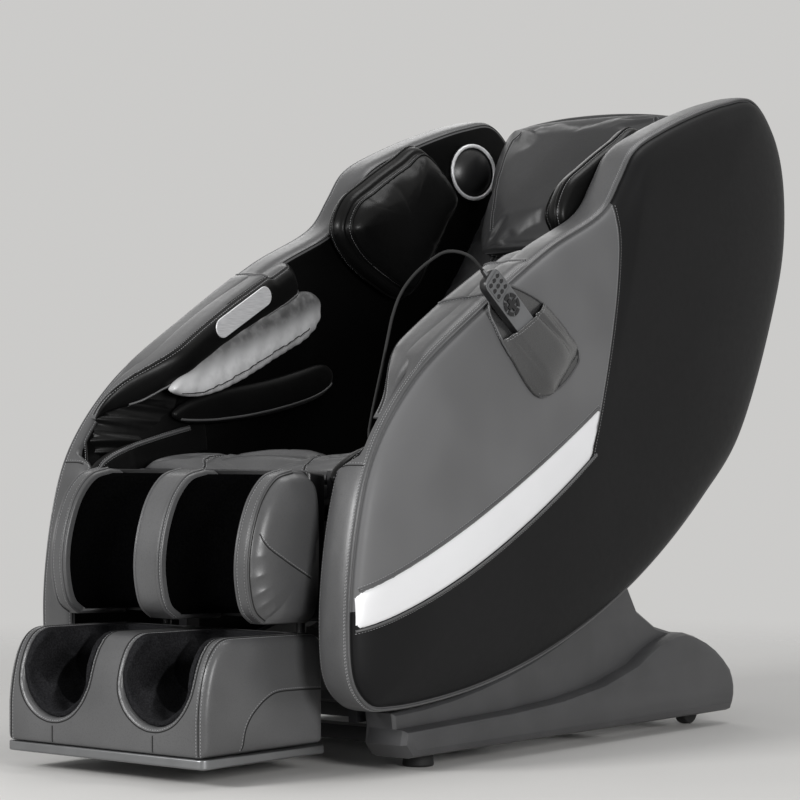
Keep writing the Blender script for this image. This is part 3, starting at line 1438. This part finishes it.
def slack(lining, middle):
    """Loose folds of the fabric: it hangs in slanting ridges from the sides down to the front lip."""
    mesh = lining.data
    points = np.array([v.co for v in mesh.vertices]) / MM
    normals = np.array([v.normal for v in mesh.vertices])
    x, y, z = points[:, 0] - middle, points[:, 1], points[:, 2]
    round_it = np.arctan2(x, WELL_AXIS - z)
    deep = smoothstep(y, -738, -690) * (1 - smoothstep(y, -540, -510))
    outward = normals[:, 0] * x + normals[:, 2] * (z - WELL_AXIS)
    inward = np.clip(-outward / np.maximum(np.hypot(x, z - WELL_AXIS), 1), 0, 1)
    free = deep * inward * (1 - smoothstep(z, 212, 226))
    phase = 2.1 * round_it + (y + 740) / 34
    ridge = (1 - np.abs(np.sin(phase))) ** 1.6
    second = (1 - np.abs(np.sin(1.5 * round_it - (y + 700) / 26 + 1.1))) ** 2.2
    move = free * (14 * ridge + 7 * second + 1.2 * np.sin(x / 7 + y / 11))
    toward = np.stack([-x, np.zeros(len(x)), WELL_AXIS - z], 1)
    toward /= np.maximum(np.linalg.norm(toward, axis=1, keepdims=True), 1)
    mesh.vertices.foreach_set("co", ((points + toward * move[:, None]) * MM).ravel())
    mesh.update()


class CHAIR_OT_foot_unit(bpy.types.Operator):
    """Foot unit with two fabric-lined wells and its metal sole"""

    bl_idname = "chair.foot_unit"
    bl_label = "Foot unit"

    def execute(self, context):
        housing = softened("foot_housing", "foot_unit_cover", "front_leather", 3.2, 12)
        cushion(housing, "foot_unit", ["foot_housing"])
        for side in ("left", "right"):
            lining = softened("foot_liner_" + side, "foot_lining_" + side, "well_fabric", 2.4, 10)
            slack(lining, WELL if side == "left" else -WELL)
            cushion(lining, "foot_unit", ["foot_liner_" + side])
        skin = skin_of(housing)
        sewing = Sewing("foot", "foot_unit")
        for middle in (-WELL, WELL):
            edge = [(middle + x, -744, z) for x, z in well_line(WELL_EDGE)]
            near, far = ([(middle + x, y, 232) for y in np.linspace(-500, -690, 12)] for x in (-WELL_EDGE, WELL_EDGE))
            sewing.seam(near + edge + far[::-1], skin, rows=(3.5,))
            sewing.seam([(middle, -745, z) for z in np.linspace(76, 48, 6)], skin, rows=())
        sides = [(222, y, z) for y, z in spline([(-657, 50), (-650, 83), (-638, 102), (-622, 116), (-603, 128),
                                                 (-581, 136), (-532, 137), (-470, 134)], 40)]
        corner = [(206, y, z) for y, z in spline([(-742, 50), (-742, 110), (-733, 165), (-712, 205), (-680, 226),
                                                  (-600, 226), (-480, 222)], 50)]
        sewing.both(sides, [skin, skin], rows=(3.5,))
        sewing.both(corner, [skin, skin], rows=(-4, 4))
        sewing.finish()
        sole = refined("foot_sole", "sole_metal", 0.8)
        return {"FINISHED"}


# ---- remote and its pouch ----
CORD = [(357.5, -230.36, 805.36), (355.55, -240.17, 815.17), (352, -257, 827), (337, -268, 834), (314, -274, 834),
        (290, -279, 822), (262, -286, 800), (240, -294, 770), (230, -303, 735), (226, -312, 695), (224, -322, 655),
        (223, -336, 610), (225, -352, 568), (231, -366, 537), (247.7, -378, 520), (261.7, -378, 520)]
POUCH_AT = np.array([353, -189, 764])
WIDE = np.array([0, 0.70711, 0.70711])
RISE = np.array([-0.13917, -0.70023, 0.70023])
FACE = np.array([0.99027, -0.09841, 0.09841])


def on_pouch(wide, rise, face):
    """A point by its place across the pouch, up it and out of its face."""
    return POUCH_AT + WIDE * wide + RISE * rise + FACE * face


def pouch_height(at):
    """How far a point stands out of the pouch's face."""
    return float((np.array(at) - POUCH_AT) @ FACE)


def faces_out(normal):
    """Whether a face of the handset looks out of the pouch."""
    return normal.dot(Vector(FACE)) > 0.9


class CHAIR_OT_remote_cord(bpy.types.Operator):
    """Cord from the handset over the arm to its gland"""

    bl_idname = "chair.remote_cord"
    bl_label = "Handset cord"

    def execute(self, context):
        line = spline(CORD, 90)
        cord = grow("handset_lead", tube_tree("rubber"), [(line, False)], Radius=0.0026, Sides=12)
        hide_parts("handset_cord")
        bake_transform(cord)
        return {"FINISHED"}


POUCH_LEFT = np.array([(-54, -50), (-61, -95), (-65, -141), (-60, -172), (-40, -192)])
POUCH_RIGHT = np.array([(76, -84), (82, -125), (85, -165), (83, -196), (66, -212)])
POUCH_SIDES = [spline(edge, 60) for edge in (POUCH_LEFT, POUCH_RIGHT)]
POUCH_EDGE = [*POUCH_LEFT, (14, -209), *POUCH_RIGHT[::-1], (62, -46), (32, -4), (4, 5), (-24, 1), (-42, -26)]
# below this level lies the plate between the keys
KEY_TOP = 21.1


class CHAIR_OT_remote(bpy.types.Operator):
    """Pouch on the arm with the handset and its keys"""

    bl_idname = "chair.remote"
    bl_label = "Handset and pouch"

    def execute(self, context):
        shell = skin_of(bpy.data.objects["side_shell_left"])
        back = lofted("pouch_back", self.back(shell), "pouch_leather")
        front = self.front(shell)
        for piece in (back, front):
            cushion(piece, "cabin", ["remote_pocket"])
        sewing = Sewing("pouch", "cabin")
        rim = spline(POUCH_EDGE, 160, True)
        sewing.seam([self.on_shell(shell, x * 0.97, z, 5) for x, z in rim], skin_of(back, front), rows=(-4.5,),
                    closed=True, piped=1.0)
        hem = [self.front_point(shell, u, 0.035) + FACE * 3 for u in np.linspace(-0.93, 0.93, 40)]
        sewing.seam(hem, skin_of(front), rows=(0,), grooved=False)
        sewing.finish()
        case = refined("handset", "dark_plastic", 0.6, 30)
        zoned(case, "handset_face", lambda at, normal: faces_out(normal))
        for node in ("number_keys", "ring_keys", "cross_key"):
            keys = refined(node, "keys", 0.35, 30)
            if node != "cross_key":
                zoned(keys, "handset_face", lambda at, normal: pouch_height(at) < KEY_TOP and faces_out(normal))
        return {"FINISHED"}

    def on_shell(self, shell, wide, rise, lift):
        """A point over the shell, seen square to the pouch."""
        start = on_pouch(wide, rise, 70)
        hit = shell.ray_cast(Vector(start), Vector(-FACE))[0]
        level = pouch_height(hit) if hit else 0
        return on_pouch(wide, rise, max(level, -4) + lift)

    def back(self, shell):
        """The back panel: a thin padded sheet that hugs the shell."""
        rim = spline(POUCH_EDGE, 160, True)
        middle = np.array([0, -100])
        rings = []
        for share, lift in ((0.7, 0.4), (0.3, 0.4), (0.06, 0.4), (0.015, 0.9), (0, 2.2), (0.015, 3.5), (0.06, 4.0),
                            (0.3, 4.0), (0.7, 4.0)):
            rings.append([self.on_shell(shell, *(p + (middle - p) * share), lift) for p in rim])
        return np.array(rings)

    def front_point(self, shell, u, v):
        """The front panel, from its mouth (v = 0) to the tail, bulging over the handset with slack folds."""
        at = v * (len(POUCH_SIDES[0]) - 1)
        low = min(int(at), len(POUCH_SIDES[0]) - 2)
        left, right = (side[low] + (side[low + 1] - side[low]) * (at - low) for side in POUCH_SIDES)
        wide, rise = left + (right - left) * (u + 1) / 2
        rise -= (1 - u * u) * (3 + 4 * v)
        reach = right[0] if wide > 0 else -left[0]
        aside = max(0.0, (abs(wide) - 24) / (reach - 24))
        below = min(1.0, max(0.0, (-rise - 136) / 66))
        bulge = (1 - min(1, aside) ** 1.7) ** 0.8 * (1 - below ** 2) ** 0.7
        fold = 6.5 * math.exp(-((wide - 36 - 26 * v) / 5.5) ** 2) * max(0, 1 - v * 1.3) ** 0.6
        fold += 4 * math.exp(-((wide + 36 - 8 * v) / 5) ** 2) * max(0, 1 - v * 1.6) ** 0.6
        fold += 3 * math.exp(-((wide - 58 - 10 * v) / 6) ** 2) * max(0, 1 - abs(v - 0.35) * 2.4)
        rest = pouch_height(self.on_shell(shell, wide, rise, 5.2))
        return on_pouch(wide, rise, rest + max(0, 24.6 - rest) * bulge - fold * min(1, bulge * 1.4))

    def front(self, shell):
        wide, down = 64, 60
        points = [self.front_point(shell, u, v) for v in np.linspace(0, 1, down) ** 1.05
                  for u in np.sin(np.linspace(-math.pi / 2, math.pi / 2, wide))]
        faces = [(r * wide + c, r * wide + c + 1, (r + 1) * wide + c + 1, (r + 1) * wide + c)
                 for r in range(down - 1) for c in range(wide - 1)]
        sheet = mesh_piece("pouch_front", points, faces, "pouch_leather")
        middle = sheet.data.polygons[(wide - 1) * down // 2 + wide // 2]
        if middle.normal.dot(Vector(FACE)) < 0:
            sheet.data.flip_normals()
        wall = sheet.modifiers.new("wall", "SOLIDIFY")
        wall.thickness = 1.8 * MM
        wall.offset = -1
        return plain_mesh(sheet)


# ---- base and mechanism ----
class CHAIR_OT_base(bpy.types.Operator):
    """Base covers, feet, wheels, inlet box and the steel base"""

    bl_idname = "chair.base"
    bl_label = "Base"

    def execute(self, context):
        refined("base_frame", "frame_steel", 0.8)
        for side in ("left", "right"):
            refined("base_cover_" + side, "base_plastic", 1.2, 30)
            refined("front_foot_" + side, "rubber", 0.8, 30)
            refined("rear_wheel_" + side, "rubber", 0.6, 30)
        refined("power_box", "dark_plastic", 0.8)
        refined("power_switch", "dark_plastic", 0.4)
        return {"FINISHED"}


class CHAIR_OT_mechanism(bpy.types.Operator):
    """Seat, back and leg frames, drives, air pump and the roller carriage"""

    bl_idname = "chair.mechanism"
    bl_label = "Mechanism"

    def execute(self, context):
        for node in ("seat_frame", "back_frame", "calf_frame", "foot_carrier"):
            refined(node, "frame_steel", 0.6)
        for node in ("calf_shell", "air_pump", "recline_drive", "leg_drive", "massage_carriage"):
            refined(node, "dark_plastic", 0.8)
        for node in ("recline_rod", "leg_rod"):
            refined(node, "zinc_steel", 0.5)
        for side in ("left", "right"):
            refined("roller_arm_" + side, "frame_steel", 0.6)
            for end in ("upper", "lower"):
                refined(end + "_roller_" + side, "rubber", 0.8, 30)
        return {"FINISHED"}


# ---- stage ----
def lamp(name, place, aim, size, power):
    data = bpy.data.lights.new(name, "AREA")
    data.shape = "RECTANGLE"
    data.size, data.size_y = size
    data.energy = power * bpy.context.scene.chair_stage.lamps
    light = new_object(name, data)
    light.location = place
    light.rotation_euler = (Vector(aim) - Vector(place)).to_track_quat("-Z", "Y").to_euler()


class CHAIR_OT_stage(bpy.types.Operator):
    """Camera, floor and soft studio light"""

    bl_idname = "chair.stage"
    bl_label = "Stage"

    def execute(self, context):
        stage = context.scene.chair_stage
        data = bpy.data.cameras.new("camera")
        data.lens = stage.lens
        data.sensor_width = 36
        data.shift_y = stage.rise
        camera = new_object("camera", data)
        camera.location = stage.place
        camera.rotation_euler = (math.pi / 2, 0, stage.heading)
        context.scene.camera = camera
        context.scene.view_settings.view_transform = "Standard"
        self.floor(stage)
        self.room(context, stage)
        lamp("key", (-0.9, -4.3, 2.0), (0, 0, 0.45), (1.3, 0.9), 125)
        lamp("side", (4.2, -1.9, 1.3), (0.2, 0, 0.6), (1.3, 1.0), 100)
        lamp("top", (0.5, 0.9, 3.6), (0, 0, 0.5), (1.4, 1.4), 26)
        lamp("rim", (-2.6, 2.4, 2.5), (-0.1, 0, 0.7), (2.2, 1.8), 18)
        return {"FINISHED"}

    def floor(self, stage):
        mesh = bpy.data.meshes.new("floor")
        mesh.from_pydata([(-9, -9, 0), (9, -9, 0), (9, 9, 0), (-9, 9, 0)], [], [(0, 1, 2, 3)])
        floor = new_object("floor", mesh)
        tree, shader, place = blank("floor", Roughness=0.75, Specular_IOR_Level=0.2)
        tone = noise(tree, place, 3, 2)
        rgb = tuple(stage.floor)
        wire_up(tree, shader, paint(tree, tone.step(0.3, 0.7), times(rgb, 0.985), rgb))
        far = put(tree, "ShaderNodeVectorMath", {"operation": "LENGTH"}, {0: place})
        clear = put(tree, "ShaderNodeBsdfTransparent")
        fade = put(tree, "ShaderNodeMixShader", None,
                   {0: out(tree, far, "Value").step(1.0, 3.2), 1: out(tree, shader), 2: out(tree, clear)})
        tree.links.new(fade.outputs[0], tree.nodes["Material Output"].inputs["Surface"])
        mesh.materials.append(bpy.data.materials["floor"])

    def room(self, context, stage):
        world = bpy.data.worlds.new("room")
        context.scene.world = world
        world.use_nodes = True
        tree = world.node_tree
        plain = tree.nodes["Background"]
        plain.inputs["Color"].default_value = (0.9, 0.91, 0.93, 1)
        plain.inputs["Strength"].default_value = stage.room
        seen = put(tree, "ShaderNodeBackground", None, {"Color": (0.6, 0.595, 0.585, 1), "Strength": 1.0})
        rays = put(tree, "ShaderNodeLightPath")
        seen_by, glossy, through = (out(tree, rays, f"Is {kind} Ray") for kind in ("Camera", "Glossy", "Transmission"))
        shown = seen_by.maths("MAXIMUM", seen_by, glossy)
        shown = shown.maths("MAXIMUM", shown, through)
        mixed = put(tree, "ShaderNodeMixShader", None, {0: shown, 1: out(tree, plain), 2: out(tree, seen)})
        tree.links.new(mixed.outputs[0], tree.nodes["World Output"].inputs["Surface"])


# ---- panel and registration ----
STEPS = (CHAIR_OT_stage, CHAIR_OT_remote_cord, CHAIR_OT_side_shells, CHAIR_OT_arms, CHAIR_OT_shoulders, CHAIR_OT_seat,
         CHAIR_OT_back, CHAIR_OT_leg_rest, CHAIR_OT_foot_unit, CHAIR_OT_remote, CHAIR_OT_base, CHAIR_OT_mechanism)


class CHAIR_PT_panel(bpy.types.Panel):
    """Sizes, colours and the steps that build the chair"""

    bl_idname = "CHAIR_PT_panel"
    bl_label = "Massage chair"
    bl_space_type = "VIEW_3D"
    bl_region_type = "UI"
    bl_category = "Chair"

    def draw(self, context):
        for group in (context.scene.chair_sizes, context.scene.chair_colours, context.scene.chair_stage):
            box = self.layout.box()
            for name in group.__annotations__:
                box.prop(group, name)
        for step in STEPS:
            self.layout.operator(step.bl_idname)


CLASSES = (ChairColours, ChairSizes, StageSettings, *STEPS, CHAIR_PT_panel)


def register():
    for item in CLASSES:
        bpy.utils.register_class(item)
    bpy.types.Scene.chair_colours = PointerProperty(type=ChairColours)
    bpy.types.Scene.chair_sizes = PointerProperty(type=ChairSizes)
    bpy.types.Scene.chair_stage = PointerProperty(type=StageSettings)


def unregister():
    for name in ("chair_colours", "chair_sizes", "chair_stage"):
        delattr(bpy.types.Scene, name)
    for item in reversed(CLASSES):
        bpy.utils.unregister_class(item)


def main():
    register()
    for step in STEPS:
        group, name = step.bl_idname.split(".")
        getattr(getattr(bpy.ops, group), name)()


if __name__ == "__main__":
    main()
